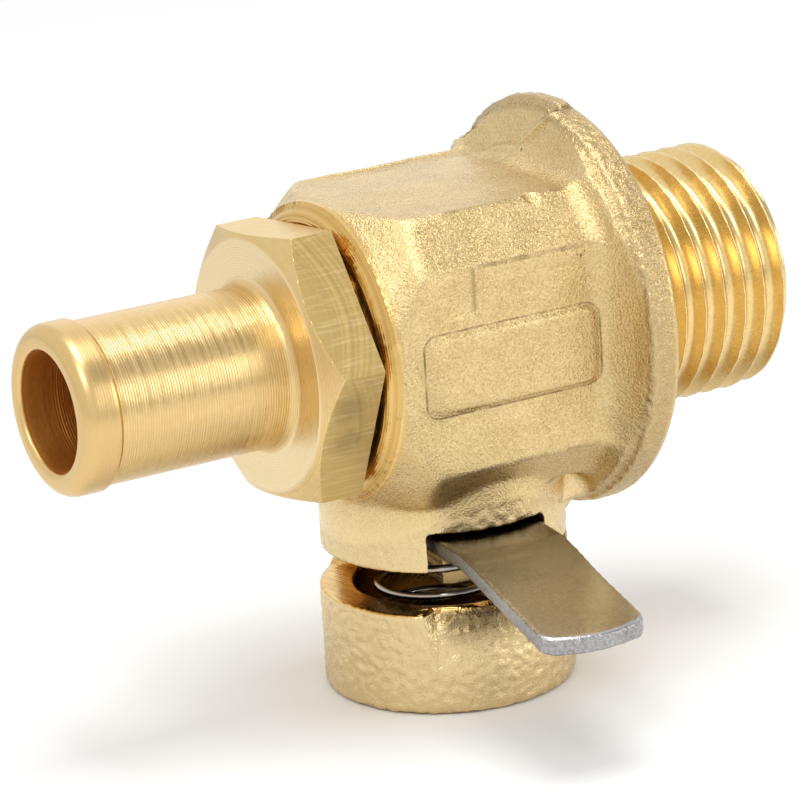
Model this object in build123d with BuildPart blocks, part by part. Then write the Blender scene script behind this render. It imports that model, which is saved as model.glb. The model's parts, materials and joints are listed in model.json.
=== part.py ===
from build123d import *
from math import acos, asin, cos, radians, sin, tan
import os

os.makedirs("parts", exist_ok=True)

# Oil drain valve: a forged brass ball valve that screws into an engine's oil pan and has a
# nipple for a drain hose. X runs along the oil passage with +X towards the engine, Z is up,
# and the origin is the centre of the flange's sealing face. All sizes are in millimetres.

# Engine thread and sealing flange
thread_radius = 8.0
thread_length = 12.0
thread_end_chamfer = 0.75
flange_radius = 13.0
flange_rim = 2.0
flange_back_rise = 0.85
flange_back_radius = 9.4
flange_rim_round = 0.4
root_cove = 1.3
root_gentle = 18.0
root_steep = 45.0

# Forged eight-sided block, parted on the plane y = 0, with a turned collar at its nipple end
body_length = 18.3
body_half_width = 9.25
body_half_height = 9.3
top_flat_half = 6.87
side_flat_top = 6.2
side_flat_bottom = 6.7
parting_rise = 0.22
crease_round = 0.7
collar_radius = 9.19
nose_slope = 0.8
collar_chamfer = 0.55

# Blank raised pad on the front face
pad_from_collar = 8.37
pad_centre_z = -0.15
pad_length = 12.5
pad_height = 5.2
pad_rise = 0.3
pad_corner = 0.9
pad_draft = 25.0

# Lever boss under the block
stem_from_collar = 8.15
boss_upper_radius = 7.84
boss_lower_radius = 8.05
boss_bottom = -23.07
boss_bore_radius = 5.87
boss_bore_roof = -11.2
boss_end_round = 0.5
web_thickness = 0.8
web_reach = 0.3
web_drop = 2.2

# Window that the lever swings through, its lock notch and the finger relief under it
window_roof = -13.71
window_floor = -16.42
window_start = 130.0
window_sweep = 190.0
lever_turn = 7.0
notch_half_width = 4.0
relief_depth = 0.75
relief_drop = 3.6

# Ball chamber, ball and seats
passage_radius = 3.9
chamber_radius = 5.1
ball_radius = 4.8
port_radius = 2.8
seat_bore_radius = 3.0
seat_near = 3.0
seat_far = 4.5
ball_slot_width = 2.2
ball_slot_floor = 3.3
ball_clearance = 0.05
seat_clearance = 0.05

# Stem
stem_radius = 3.4
stem_clearance = 0.05
shoulder_radius = 4.2
shoulder_top = -5.2
shoulder_thickness = 0.8
shoulder_clearance = 0.1
washer_thickness = 0.5
tang_half_length = 2.6
tang_clearance = 0.1
stem_groove_centre = -8.8
stem_groove_width = 1.1
stem_ring_section = 0.78
blade_half_thickness = 1.5
blade_end = -16.2
blade_end_chamfer = 0.3

# Lever
lever_thickness = 1.1
lever_rest_gap = 0.05
lever_top = -11.45
lever_head_radius = 5.45
lever_root_half = 3.65
lever_tip_half = 3.4
lever_bend_at = 11.5
lever_bend_angle = 15.5
lever_bend_radius = 3.0
lever_strip_length = 21.2
lever_tip_bulge = 0.45
lever_corner_round = 0.8
blade_clearance = 0.06

# Spring and the plug that holds it
spring_mean_radius = 4.4
spring_wire = 0.55
spring_pitch = 1.78
spring_gap = 0.03
plug_thickness = 1.6
plug_recess = 0.35
plug_pilot_radius = 3.7
plug_pilot_height = 0.9
plug_clearance = 0.02

# Hose nipple, turned from hexagon bar
tube_length = 14.18
nipple_bore_radius = 3.8
nipple_throat_radius = 3.2
throat_from_hex = 1.27
tube_radius = 5.12
bead_radius = 5.3
bead_length = 3.5
lip_round = 0.95
lip_chamfer = 0.3
hex_across_flats = 16.5
hex_corner_angle = 23.8
hex_length = 3.8
hex_face_radius = 7.85
hex_chamfer_angle = 30.0
hex_gap = 0.77
tube_root_round = 0.6
neck_radius = 6.3
joint_radius = 7.0
joint_clearance = 0.05
joint_chamfer = 0.4
pilot_length = 0.55
joint_ring_section = 0.86
joint_ring_gap = 0.02

# Places worked out from the sizes above
stem_x = stem_from_collar - body_length
pad_centre_x = pad_from_collar - body_length
inlet_seat_x = stem_x + seat_far
outlet_seat_x = stem_x - seat_far
joint_step_x = outlet_seat_x - pilot_length
joint_end_x = joint_step_x - joint_ring_section - 2 * joint_ring_gap
hex_rear_x = -body_length - hex_gap
hex_front_x = hex_rear_x - hex_length
nipple_mouth = hex_front_x - tube_length
throat_start = hex_front_x + throat_from_hex
hex_corner_radius = hex_across_flats / 2 / cos(radians(30))
stem_hole_radius = stem_radius + stem_clearance
pocket_radius = shoulder_radius + shoulder_clearance
washer_top = shoulder_top - shoulder_thickness
pocket_floor = washer_top - washer_thickness
stem_foot = lever_top + lever_rest_gap
window_height = window_roof - window_floor
window_middle = (window_roof + window_floor) / 2
plug_bottom = boss_bottom + plug_recess
plug_top = plug_bottom + plug_thickness
spring_top = lever_top - lever_thickness - spring_gap
spring_bottom = plug_top + spring_gap

# The lever's own plane: its handle points along local -Y
lever_plane = Plane(
    origin=(stem_x, 0, 0),
    x_dir=(cos(radians(lever_turn)), -sin(radians(lever_turn)), 0),
    z_dir=(0, 0, 1),
)


def stem_plane(height):
    """A level plane on the stem's axis."""
    return Plane(origin=(stem_x, 0, height), z_dir=(0, 0, 1))


def lever_level(height):
    """A level plane on the stem's axis, turned with the lever."""
    return lever_plane.offset(height)


def block_section(x):
    """The block's eight-sided section at a place along X, with a slight ridge at the parting plane."""
    with BuildSketch(Plane.YZ.offset(x)) as section:
        with BuildLine():
            Polyline(
                (0, body_half_height + parting_rise),
                (top_flat_half, body_half_height),
                (body_half_width, side_flat_top),
                (body_half_width, -side_flat_bottom),
                (top_flat_half, -body_half_height),
                (0, -body_half_height - parting_rise),
            )
            mirror(about=Plane.YZ)
        make_face()
        creases = section.vertices().filter_by(lambda v: abs(v.Y) > top_flat_half / 2)
        fillet(creases, radius=crease_round)
    return section.sketch


# Cutter for the relief under the lever: a cone round the boss, limited to the notch's width
with BuildPart() as relief_cutter:
    with BuildSketch(Plane.XZ.shift_origin((stem_x, 0, 0))):
        with BuildLine():
            outside = boss_lower_radius + 1
            Polyline(
                (boss_lower_radius - relief_depth, window_floor + window_height / 2),
                (boss_lower_radius - relief_depth, window_floor),
                (boss_lower_radius, window_floor - relief_drop),
                (outside, window_floor - relief_drop),
                (outside, window_floor + window_height / 2),
                close=True,
            )
        make_face()
    revolve(axis=Axis((stem_x, 0, 0), (0, 0, 1)))
    with BuildSketch(lever_level(window_floor - relief_drop - 1)):
        Rectangle(2 * notch_half_width, 2 * boss_lower_radius, align=(Align.CENTER, Align.MAX))
    extrude(amount=relief_drop + window_height, mode=Mode.INTERSECT)

# Valve body: forged block, flange, threaded end and lever boss in one piece of brass
with BuildPart() as valve_body:
    with BuildSketch(Plane.XZ):
        with BuildLine():
            back_x = -flange_rim - flange_back_rise
            Polyline(
                (0, 0),
                (0, flange_radius),
                (-flange_rim, flange_radius),
                (back_x, flange_back_radius),
                (back_x, 0),
                close=True,
            )
        make_face()
    revolve(axis=Axis.X)
    rim_edges = valve_body.edges().filter_by(GeomType.CIRCLE).filter_by(
        lambda e: abs(e.radius - flange_radius) < 0.01
    )
    fillet(rim_edges, radius=flange_rim_round)

    extrude(block_section(-body_length), amount=body_length - flange_rim)
    with BuildSketch(Plane.XZ):
        with BuildLine():
            nose_top = body_half_width + body_half_height
            nose_end = -body_length + (nose_top - collar_radius) / nose_slope
            Polyline(
                (-body_length, 0),
                (-body_length, collar_radius),
                (nose_end, nose_top),
                (max(nose_end, 0) + 1, nose_top),
                (max(nose_end, 0) + 1, 0),
                close=True,
            )
        make_face()
    revolve(axis=Axis.X, mode=Mode.INTERSECT)

    with BuildSketch(stem_plane(boss_bottom)):
        Circle(boss_lower_radius)
    extrude(amount=window_middle - boss_bottom)
    fillet(valve_body.faces().sort_by(Axis.Z)[0].edges(), radius=boss_end_round)
    with BuildSketch(stem_plane(window_middle)):
        Circle(boss_upper_radius)
    extrude(amount=-window_middle)

    extrude(block_section(back_x - root_cove), amount=root_cove, taper=-root_gentle)
    extrude(block_section(back_x - root_cove / 2), amount=root_cove / 2, taper=-root_steep)

    with BuildSketch(Plane.XZ.offset(-web_thickness / 2)):
        with BuildLine():
            boss_side = stem_x + boss_upper_radius
            Polyline(
                (-web_reach, -flange_radius + 1),
                (-web_reach, -flange_radius - web_reach),
                (boss_side, -flange_radius - web_drop),
                (boss_side - 1, -flange_radius - web_drop),
                (boss_side - 1, -flange_radius + 1),
                close=True,
            )
        make_face()
    extrude(amount=web_thickness)

    with BuildSketch(Plane.YZ):
        Circle(thread_radius)
    extrude(amount=thread_length)
    thread_tip = valve_body.faces().sort_by(Axis.X)[-1].edges()
    chamfer(thread_tip, length=thread_end_chamfer)

    with BuildSketch(Plane.XZ.offset(body_half_width - pad_rise)):
        with Locations((pad_centre_x, pad_centre_z)):
            RectangleRounded(pad_length, pad_height, pad_corner)
    extrude(amount=2 * pad_rise, taper=pad_draft)

    with BuildSketch(Plane.XZ):
        with BuildLine():
            Polyline(
                (-body_length - 1, 0),
                (-body_length - 1, joint_radius + collar_chamfer + 1),
                (-body_length + collar_chamfer, joint_radius),
                (joint_step_x, joint_radius),
                (joint_step_x, chamber_radius),
                (inlet_seat_x, chamber_radius),
                (inlet_seat_x, passage_radius),
                (thread_length + 1, passage_radius),
                (thread_length + 1, 0),
                close=True,
            )
        make_face()
    revolve(axis=Axis.X, mode=Mode.SUBTRACT)

    with BuildSketch(stem_plane(pocket_floor)):
        Circle(pocket_radius)
    extrude(amount=-pocket_floor, mode=Mode.SUBTRACT)
    with BuildSketch(stem_plane(boss_bore_roof)):
        Circle(stem_hole_radius)
    extrude(amount=-boss_bore_roof, mode=Mode.SUBTRACT)
    with BuildSketch(stem_plane(boss_bottom)):
        Circle(boss_bore_radius)
    extrude(amount=boss_bore_roof - boss_bottom, mode=Mode.SUBTRACT)

    with BuildSketch(stem_plane(window_floor)):
        with BuildLine():
            sector = CenterArc((0, 0), 2 * boss_lower_radius, window_start, window_sweep)
            Line(sector @ 0, (0, 0))
            Line((0, 0), sector @ 1)
        make_face()
    extrude(amount=window_height, mode=Mode.SUBTRACT)
    for end_angle in (window_start, window_start + window_sweep):
        outward = (cos(radians(end_angle)), sin(radians(end_angle)), 0)
        with BuildSketch(Plane(origin=(stem_x, 0, window_middle), z_dir=outward)):
            Circle(window_height / 2)
        extrude(amount=2 * boss_lower_radius, mode=Mode.SUBTRACT)
    with BuildSketch(lever_level(window_middle)):
        Rectangle(2 * notch_half_width, 2 * boss_lower_radius, align=(Align.CENTER, Align.MAX))
    extrude(amount=boss_bore_roof - window_middle, mode=Mode.SUBTRACT)
    add(relief_cutter.part, mode=Mode.SUBTRACT)

valve_body.part.label = "valve_body"
export_step(valve_body.part, "parts/valve_body.step")

# Hose nipple: hexagon, beaded tube and a screwed spigot that holds the outlet seat
with BuildPart() as hose_nipple:
    with BuildSketch(Plane.YZ.offset(hex_front_x)):
        RegularPolygon(hex_corner_radius, 6, rotation=90 + hex_corner_angle)
    extrude(amount=hex_length)
    with BuildSketch(Plane.XZ):
        with BuildLine():
            far_radius = 2 * hex_corner_radius
            chamfer_run = (far_radius - hex_face_radius) * tan(radians(hex_chamfer_angle))
            Polyline(
                (hex_front_x, 0),
                (hex_front_x, hex_face_radius),
                (hex_front_x + chamfer_run, far_radius),
                (max(hex_front_x + chamfer_run, 0) + 1, far_radius),
                (max(hex_front_x + chamfer_run, 0) + 1, 0),
                close=True,
            )
        make_face()
    revolve(axis=Axis.X, mode=Mode.INTERSECT)

    with BuildSketch(Plane.XZ):
        with BuildLine():
            spigot_radius = joint_radius - joint_clearance
            pilot_radius = chamber_radius - joint_clearance
            neck_end = -body_length + collar_chamfer
            Polyline(
                (nipple_mouth, 0),
                (nipple_mouth, bead_radius),
                (nipple_mouth + bead_length, bead_radius),
                (nipple_mouth + bead_length + bead_radius - tube_radius, tube_radius),
                (hex_front_x + hex_length / 2, tube_radius),
                (hex_front_x + hex_length / 2, neck_radius),
                (neck_end, neck_radius),
                (neck_end + joint_chamfer, spigot_radius),
                (joint_end_x, spigot_radius),
                (joint_end_x, pilot_radius),
                (outlet_seat_x, pilot_radius),
                (outlet_seat_x, 0),
                close=True,
            )
        make_face()
    revolve(axis=Axis.X)
    tube_root = hose_nipple.edges().filter_by(GeomType.CIRCLE).filter_by(
        lambda e: abs(e.radius - tube_radius) < 0.01 and abs(e.center().X - hex_front_x) < 0.01
    )
    fillet(tube_root, radius=tube_root_round)
    lip = hose_nipple.faces().sort_by(Axis.X)[0].edges()
    fillet(lip, radius=lip_round)

    with BuildSketch(Plane.XZ):
        with BuildLine():
            step = nipple_bore_radius - nipple_throat_radius
            Polyline(
                (nipple_mouth - 1, 0),
                (nipple_mouth - 1, nipple_bore_radius + lip_chamfer + 1),
                (nipple_mouth + lip_chamfer, nipple_bore_radius),
                (throat_start, nipple_bore_radius),
                (throat_start + step, nipple_throat_radius),
                (outlet_seat_x + 1, nipple_throat_radius),
                (outlet_seat_x + 1, 0),
                close=True,
            )
        make_face()
    revolve(axis=Axis.X, mode=Mode.SUBTRACT)

hose_nipple.part.label = "hose_nipple"
export_step(hose_nipple.part, "parts/hose_nipple.step")

# Rubber ring squeezed between the nipple's spigot and the step in the body
with BuildPart() as nipple_o_ring:
    ring_middle = (chamber_radius + joint_radius) / 2
    with BuildSketch(Plane.XZ):
        with Locations(((joint_step_x + joint_end_x) / 2, ring_middle)):
            Circle(joint_ring_section / 2)
    revolve(axis=Axis.X)

nipple_o_ring.part.label = "nipple_o_ring"
export_step(nipple_o_ring.part, "parts/nipple_o_ring.step")

# Ball, shown closed: its port lies across the passage
with BuildPart() as ball:
    with Locations((stem_x, 0, 0)):
        Sphere(ball_radius)
    with BuildSketch(Plane.XZ.shift_origin((stem_x, 0, 0))):
        Circle(port_radius)
    extrude(amount=2 * ball_radius, both=True, mode=Mode.SUBTRACT)
    with BuildSketch(stem_plane(-ball_slot_floor)):
        Rectangle(4 * ball_radius, ball_slot_width)
    extrude(amount=-2 * ball_radius, mode=Mode.SUBTRACT)

ball.part.label = "ball"
export_step(ball.part, "parts/ball.step")

# Two soft seats, one each side of the ball, dished to the ball's curve
for seat_name, side in (("seat_inlet", 1), ("seat_outlet", -1)):
    with BuildPart() as seat:
        with BuildSketch(Plane.XZ):
            with BuildLine():
                dish_radius = ball_radius + ball_clearance
                near_angle = acos(seat_near / dish_radius)
                bore_angle = asin(seat_bore_radius / dish_radius)
                dish = [
                    (stem_x + side * dish_radius * cos(angle), dish_radius * sin(angle))
                    for angle in (near_angle, (near_angle + bore_angle) / 2, bore_angle)
                ]
                ThreePointArc(*dish)
                Polyline(
                    dish[-1],
                    (stem_x + side * seat_far, seat_bore_radius),
                    (stem_x + side * seat_far, chamber_radius - seat_clearance),
                    (stem_x + side * seat_near, chamber_radius - seat_clearance),
                    dish[0],
                )
            make_face()
        revolve(axis=Axis.X)
    seat.part.label = seat_name
    export_step(seat.part, f"parts/{seat_name}.step")

# Stem: a tang in the ball's slot, a shoulder, a sealed drum and a flat blade for the lever
with BuildPart() as stem:
    with BuildSketch(stem_plane(shoulder_top)):
        Circle(tang_half_length)
        Rectangle(
            2 * tang_half_length, ball_slot_width - 2 * tang_clearance, mode=Mode.INTERSECT
        )
    extrude(amount=-ball_slot_floor - tang_clearance - shoulder_top)
    with BuildSketch(stem_plane(washer_top)):
        Circle(shoulder_radius)
    extrude(amount=shoulder_thickness)
    with BuildSketch(stem_plane(stem_foot)):
        Circle(stem_radius)
    extrude(amount=washer_top - stem_foot)
    with BuildSketch(stem_plane(stem_groove_centre - stem_groove_width / 2)):
        Circle(stem_radius + 1)
        Circle(stem_hole_radius - stem_ring_section, mode=Mode.SUBTRACT)
    extrude(amount=stem_groove_width, mode=Mode.SUBTRACT)
    with BuildSketch(lever_level(blade_end)):
        Circle(stem_radius)
        Rectangle(2 * blade_half_thickness, 2 * stem_radius, mode=Mode.INTERSECT)
    extrude(amount=stem_foot - blade_end)
    blade_tip = stem.faces().sort_by(Axis.Z)[0].edges()
    chamfer(blade_tip, length=blade_end_chamfer)

stem.part.label = "stem"
export_step(stem.part, "parts/stem.step")

# Rubber ring in the stem's groove
with BuildPart() as stem_o_ring:
    ring_radius = stem_ring_section / 2
    with BuildSketch(Plane.XZ.shift_origin((stem_x, 0, stem_groove_centre))):
        with Locations((stem_hole_radius - ring_radius, 0)):
            Circle(ring_radius - stem_clearance / 2)
    revolve(axis=Axis((stem_x, 0, 0), (0, 0, 1)))

stem_o_ring.part.label = "stem_o_ring"
export_step(stem_o_ring.part, "parts/stem_o_ring.step")

# Slip washer between the stem's shoulder and the pocket in the body
with BuildPart() as thrust_washer:
    with BuildSketch(stem_plane(pocket_floor)):
        Circle(shoulder_radius)
        Circle(stem_hole_radius, mode=Mode.SUBTRACT)
    extrude(amount=washer_thickness)

thrust_washer.part.label = "thrust_washer"
export_step(thrust_washer.part, "parts/thrust_washer.step")

# Lever: a strip of stainless sheet with a round head, bent down outside the boss
lever_tip_y = -lever_bend_at - (lever_strip_length - lever_bend_at) * cos(radians(lever_bend_angle))
with BuildPart() as lever:
    side_plane = Plane(lever_plane.origin, x_dir=-lever_plane.y_dir, z_dir=-lever_plane.x_dir)
    with BuildSketch(side_plane):
        with BuildLine():
            middle = lever_top - lever_thickness / 2
            fall = tan(radians(lever_bend_angle))
            beyond = -lever_tip_y + lever_thickness
            spine = FilletPolyline(
                (-lever_head_radius - 1, middle),
                (lever_bend_at, middle),
                (beyond, middle - (beyond - lever_bend_at) * fall),
                radius=lever_bend_radius,
            )
            offset(spine, amount=lever_thickness / 2, side=Side.BOTH)
        make_face()
    extrude(amount=2 * lever_head_radius, both=True)
    with BuildSketch(lever_level(2 * lever_top)):
        with BuildLine():
            Polyline(
                (-lever_tip_half, lever_tip_y),
                (-lever_root_half, -boss_bore_radius),
                (-lever_root_half, 0),
                (lever_root_half, 0),
                (lever_root_half, -boss_bore_radius),
                (lever_tip_half, lever_tip_y),
            )
            SagittaArc((-lever_tip_half, lever_tip_y), (lever_tip_half, lever_tip_y), -lever_tip_bulge)
        make_face()
        Circle(lever_head_radius)
    extrude(amount=-2 * lever_top, mode=Mode.INTERSECT)
    tip_corners = lever.edges().filter_by(Axis.Z).sort_by(Axis.Y)[:2]
    fillet(tip_corners, radius=lever_corner_round)
    with BuildSketch(lever_level(2 * lever_top)):
        Circle(stem_radius + blade_clearance)
        Rectangle(
            2 * (blade_half_thickness + blade_clearance), 3 * stem_radius, mode=Mode.INTERSECT
        )
    extrude(amount=-2 * lever_top, mode=Mode.SUBTRACT)

lever.part.label = "lever"
export_step(lever.part, "parts/lever.step")

# Plug pressed into the boss, with a pilot that centres the spring
with BuildPart() as end_plug:
    with BuildSketch(stem_plane(plug_bottom)):
        Circle(boss_bore_radius - plug_clearance)
    extrude(amount=plug_thickness)
    with BuildSketch(stem_plane(plug_top)):
        Circle(plug_pilot_radius)
    extrude(amount=plug_pilot_height)

end_plug.part.label = "end_plug"
export_step(end_plug.part, "parts/end_plug.step")

# Left-hand coil spring that pushes the lever up into its notch
with BuildPart() as spring:
    with BuildLine():
        coil = Helix(
            pitch=spring_pitch,
            height=spring_top - spring_bottom - spring_wire,
            radius=spring_mean_radius,
            center=(stem_x, 0, spring_bottom + spring_wire / 2),
            lefthand=True,
        )
    with BuildSketch(Plane(origin=coil @ 0, z_dir=coil % 0)):
        Circle(spring_wire / 2)
    sweep(is_frenet=True)

spring.part.label = "spring"
export_step(spring.part, "parts/spring.step")
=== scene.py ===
# %% [markdown]
# # An oil drain valve, dressed round its CAD frame
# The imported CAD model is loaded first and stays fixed. Every piece below is made in millimetres in
# the same frame, because the valve is small and its sizes are easier to read that way, and is
# scaled to metres when it is handed over.

# %% Load the frame
import json
import math

import bmesh
import bpy
import numpy as np
from mathutils import Matrix, Vector, noise


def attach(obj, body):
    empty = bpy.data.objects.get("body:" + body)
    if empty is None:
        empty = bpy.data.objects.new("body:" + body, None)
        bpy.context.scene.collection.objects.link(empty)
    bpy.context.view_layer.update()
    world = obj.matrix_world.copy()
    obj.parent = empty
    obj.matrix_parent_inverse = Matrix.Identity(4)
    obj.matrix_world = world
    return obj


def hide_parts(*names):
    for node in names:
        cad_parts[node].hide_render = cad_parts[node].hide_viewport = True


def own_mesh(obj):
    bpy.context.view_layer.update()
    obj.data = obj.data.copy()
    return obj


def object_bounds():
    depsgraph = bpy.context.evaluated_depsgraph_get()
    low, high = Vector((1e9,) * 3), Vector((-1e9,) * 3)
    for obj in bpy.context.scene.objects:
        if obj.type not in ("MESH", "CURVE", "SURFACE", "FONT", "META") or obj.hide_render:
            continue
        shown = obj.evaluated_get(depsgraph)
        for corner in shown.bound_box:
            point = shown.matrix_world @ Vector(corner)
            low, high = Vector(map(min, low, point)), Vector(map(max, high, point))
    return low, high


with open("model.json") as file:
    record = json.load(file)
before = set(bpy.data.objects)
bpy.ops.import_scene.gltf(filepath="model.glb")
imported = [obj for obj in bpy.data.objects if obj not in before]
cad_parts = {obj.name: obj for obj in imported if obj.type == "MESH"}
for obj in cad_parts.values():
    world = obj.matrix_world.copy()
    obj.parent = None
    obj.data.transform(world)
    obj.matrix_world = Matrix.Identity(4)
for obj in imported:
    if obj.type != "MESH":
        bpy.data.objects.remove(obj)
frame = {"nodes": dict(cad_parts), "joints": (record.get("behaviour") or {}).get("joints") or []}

MM = 0.001
cad_box = [[float(v) for v in corner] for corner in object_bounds()]
scene = bpy.context.scene
print("CAD box in mm", [[round(v / MM, 2) for v in corner] for corner in cad_box])

# %% [markdown]
# The valve's main sizes are repeated here from the CAD source, so that the threads, the spring
# and the finishes land where the solids are. X runs along the oil passage with the engine thread
# at +X, and the lever's stem stands on a vertical axis at STEM_X.

# %% Sizes of the valve
THREAD_RADIUS = 8.0
THREAD_PITCH = 1.5
THREAD_LENGTH = 12.0
PASSAGE_RADIUS = 3.9
BODY_END = -18.3
STEM_X = -10.15
BOSS_LOWER_RADIUS = 8.05
BOSS_BORE_RADIUS = 5.87
BOSS_BORE_ROOF = -11.2
WINDOW_ROOF = -13.71
WINDOW_FLOOR = -16.42
NOTCH_TURN = math.radians(7.0)
NOTCH_HALF_WIDTH = 4.0
COLLAR_RADIUS = 9.19
HEX_FRONT, HEX_REAR = -22.87, -19.07
TOP_FLAT_HALF, BODY_HALF_HEIGHT, PARTING_RISE = 6.87, 9.3, 0.22
BODY_HALF_WIDTH, SIDE_FLAT_TOP, SIDE_FLAT_BOTTOM = 9.25, 6.2, 6.7
print("passage from", BODY_END, "to", THREAD_LENGTH, "mm, stem at", STEM_X)

# %% [markdown]
# Small helpers come next. Some turn a CAD node's mesh into an even skin or hand a mesh made in
# millimetres over as a finished piece, and the rest read, move and smooth vertices as arrays.


# %% Helpers for making pieces
def link_mesh(name, mesh):
    """A new object in the scene for this mesh."""
    piece = bpy.data.objects.new(name, mesh)
    scene.collection.objects.link(piece)
    return piece


def evaluated_mesh(piece):
    """What the piece's modifiers make, as a plain mesh; the piece itself is removed."""
    graph = bpy.context.evaluated_depsgraph_get()
    graph.update()
    mesh = bpy.data.meshes.new_from_object(piece.evaluated_get(graph))
    bpy.data.objects.remove(piece)
    return mesh


def merged_copy(node):
    """A bmesh copy of a CAD node in millimetres, with its loose triangles joined."""
    copy = bmesh.new()
    copy.from_mesh(frame["nodes"][node].data)
    bmesh.ops.scale(copy, vec=(1 / MM, 1 / MM, 1 / MM), verts=copy.verts)
    bmesh.ops.remove_doubles(copy, verts=copy.verts, dist=1e-4)
    return copy


def triangle_count(mesh):
    """How many triangles a mesh has."""
    return sum(len(p.vertices) - 2 for p in mesh.polygons)


def finish_piece(name, mesh, material, body, stands_for=()):
    """Scales a mesh to metres and hands it over as a piece that rides on a body."""
    mesh.transform(Matrix.Scale(MM, 4))
    mesh.materials.clear()
    mesh.materials.append(material)
    mesh.polygons.foreach_set("material_index", np.zeros(len(mesh.polygons), np.int32))
    mesh.shade_smooth()
    piece = link_mesh(name, mesh)
    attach(piece, body)
    if stands_for:
        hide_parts(*stands_for)
    print(name, "has", triangle_count(mesh), "triangles")
    return piece


def voxel_skin(source, size):
    """A merged bmesh rebuilt as an even skin of small quads."""
    mesh = bpy.data.meshes.new("skin")
    source.to_mesh(mesh)
    source.free()
    piece = link_mesh("skin", mesh)
    remesh = piece.modifiers.new("skin", "REMESH")
    remesh.mode = "VOXEL"
    remesh.voxel_size = size
    remesh.adaptivity = 0.0
    return evaluated_mesh(piece)


def thinned(mesh, share):
    """The same skin with fewer triangles, fewest where it is flat."""
    piece = link_mesh("thinned", mesh)
    decimate = piece.modifiers.new("thin", "DECIMATE")
    decimate.ratio = share
    return evaluated_mesh(piece)


def vectors_of(items, field):
    """One vector of each item, as the rows of an array."""
    numbers = np.empty(len(items) * 3, np.float32)
    items.foreach_get(field, numbers)
    return numbers.reshape(-1, 3).astype(float)


def vertex_places(mesh):
    """Vertex positions as an array."""
    return vectors_of(mesh.vertices, "co")


def vertex_normals(mesh):
    """Vertex normals as an array."""
    return vectors_of(mesh.vertex_normals, "vector")


def set_places(mesh, places):
    """Moves a mesh's vertices to these positions."""
    mesh.vertices.foreach_set("co", places.astype(np.float32).ravel())
    mesh.update()


def face_outward(mesh, sharpest=2 * math.pi):
    """Turns faces outward, keeps edges past an angle sharp and returns how many edges are open."""
    copy = bmesh.new()
    copy.from_mesh(mesh)
    bmesh.ops.recalc_face_normals(copy, faces=copy.faces)
    for e in copy.edges:
        e.smooth = e.calc_face_angle(0.0) < sharpest
    left_open = sum(1 for e in copy.edges if not e.is_manifold)
    copy.to_mesh(mesh)
    copy.free()
    return left_open


def edge_ends(mesh):
    """The two vertices of each edge, as an array."""
    ends = np.empty(len(mesh.edges) * 2, np.int32)
    mesh.edges.foreach_get("vertices", ends)
    return ends.reshape(-1, 2)


def neighbour_mean(values, ends):
    """The mean of each vertex's neighbours."""
    count = len(values)
    degree = np.bincount(ends.ravel(), minlength=count).clip(1)
    columns = []
    for column in values.reshape(count, -1).T:
        total = np.bincount(ends[:, 0], column[ends[:, 1]], count)
        total += np.bincount(ends[:, 1], column[ends[:, 0]], count)
        columns.append(total / degree)
    return np.array(columns).T.reshape(values.shape)


def soften(places, ends, share, rounds):
    """Smooths a skin; share is 0 where it stays crisp and 1 where it is softest."""
    for _ in range(rounds):
        places = places + 0.5 * share[:, None] * (neighbour_mean(places, ends) - places)
    return places


def ramp(values, low, high):
    """A smooth step from 0 at low to 1 at high."""
    t = np.clip((values - low) / (high - low), 0.0, 1.0)
    return t * t * (3.0 - 2.0 * t)


def fade(values, low, high):
    """A smooth step from 1 at low to 0 at high."""
    return 1.0 - ramp(values, low, high)


def from_notch(x, y):
    """How far places lie to the right of the notch's middle, and how far in front of the stem."""
    across = (x - STEM_X) * math.cos(NOTCH_TURN) - y * math.sin(NOTCH_TURN)
    forward = -(x - STEM_X) * math.sin(NOTCH_TURN) - y * math.cos(NOTCH_TURN)
    return across, forward


def noise_at(places, scale, seed):
    """Smooth noise at each place, with lumps about scale millimetres wide."""
    offset = Vector((seed * 17.3, seed * -9.1, seed * 5.7))
    return np.array([noise.noise(Vector(p) / scale + offset) for p in places])


print("helpers ready")

# %% [markdown]
# ## Camera
# The photograph is taken with a long lens from the lever's side, above the valve and towards its
# nipple, and is tipped a few degrees. The direction, distance and tilt were fitted to the outlines
# of the hexagon, tube, flange, thread and boss.

# %% Camera at the photograph's angle
VIEW_AZIMUTH = math.radians(-29.94)
VIEW_ELEVATION = math.radians(17.13)
VIEW_ROLL = math.radians(3.40)
VIEW_DISTANCE = 313.72
VIEW_TARGET = Vector((-12.740, 0.0, -4.290))
LENS_MM = 225.0

cam_back = Vector((
    math.sin(VIEW_AZIMUTH) * math.cos(VIEW_ELEVATION),
    -math.cos(VIEW_AZIMUTH) * math.cos(VIEW_ELEVATION),
    math.sin(VIEW_ELEVATION),
))
level_right = Vector((math.cos(VIEW_AZIMUTH), math.sin(VIEW_AZIMUTH), 0.0))
level_up = cam_back.cross(level_right)
cam_right = level_right * math.cos(VIEW_ROLL) - level_up * math.sin(VIEW_ROLL)
cam_up = level_right * math.sin(VIEW_ROLL) + level_up * math.cos(VIEW_ROLL)
cam_place = (VIEW_TARGET + cam_back * VIEW_DISTANCE) * MM

camera_data = bpy.data.cameras.new("photo_camera")
camera_data.lens = LENS_MM
camera_data.sensor_width = 36.0
camera_data.clip_start = 0.01
camera = bpy.data.objects.new("photo_camera", camera_data)
camera.matrix_world = Matrix((
    (cam_right.x, cam_up.x, cam_back.x, cam_place.x),
    (cam_right.y, cam_up.y, cam_back.y, cam_place.y),
    (cam_right.z, cam_up.z, cam_back.z, cam_place.z),
    (0.0, 0.0, 0.0, 1.0),
))
scene.collection.objects.link(camera)
scene.camera = camera
print("camera at", [round(v / MM, 1) for v in cam_place], "mm")

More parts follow.
